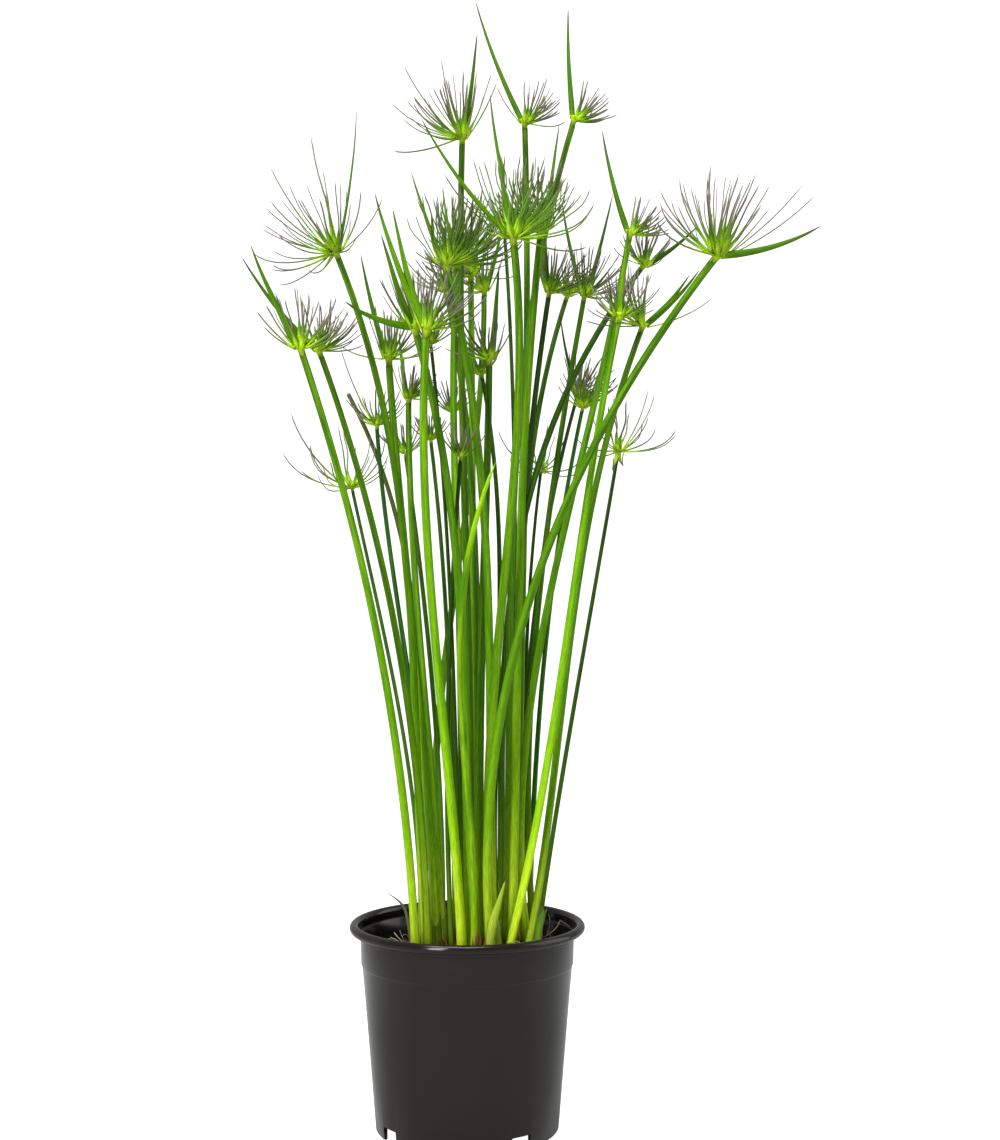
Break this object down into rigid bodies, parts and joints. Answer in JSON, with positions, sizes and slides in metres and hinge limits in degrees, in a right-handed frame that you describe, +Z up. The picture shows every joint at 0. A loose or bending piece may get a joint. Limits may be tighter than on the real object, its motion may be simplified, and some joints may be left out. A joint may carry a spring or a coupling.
{
  "type": "potted dwarf papyrus",
  "caption": "Upright clump of slender green papyrus stems, each topped with an umbrella of fine rays, growing in a plain round nursery pot.",
  "frame": {"origin": "centre of the pot's flat underside", "axes": "+Z up along the pot's axis, -Y is the front shown in the picture, +X to the right of it"},
  "size_m": [0.3148, 0.2606, 0.6903],
  "materials": {
    "pot": "satin charcoal plastic, turned look",
    "soil": "damp dark peat with fibres",
    "rhizome": "dull knobbly brown and green",
    "stem": "smooth fresh green, paler at the foot, chartreuse at the hub",
    "young_shoot": "bright yellow-green blade",
    "dry_stem": "dull olive brown",
    "sheath": "papery red-brown"
  },
  "bodies": {
    "root": {"pot": "pot", "soil": "soil", "rhizome": "rhizome", "stem_01": "stem", "stem_02": "stem", "stem_03": "stem", "stem_04": "stem", "stem_05": "stem", "stem_06": "stem", "stem_07": "stem", "stem_08": "stem", "stem_09": "stem", "stem_10": "stem", "stem_11": "stem", "stem_12": "stem", "stem_13": "stem", "stem_14": "stem", "stem_15": "stem", "stem_16": "stem", "stem_17": "stem", "stem_18": "stem", "stem_19": "stem", "stem_20": "stem", "stem_21": "stem", "stem_22": "stem", "stem_23": "stem", "stem_24": "stem", "stem_25": "stem", "stem_26": "stem", "stem_27": "stem", "stem_28": "stem", "stem_29": "stem", "stem_30": "stem", "stem_31": "stem", "stem_32": "stem", "stem_33": "stem", "stem_34": "stem", "stem_35": "stem", "stem_36": "stem", "stem_37": "stem", "stem_38": "stem", "stem_39": "stem", "young_shoot": "young_shoot", "cut_stem": "dry_stem", "dry_leaf": "dry_stem", "cut_stub": "stem", "brown_sheath": "sheath"}
  },
  "joints": []
}
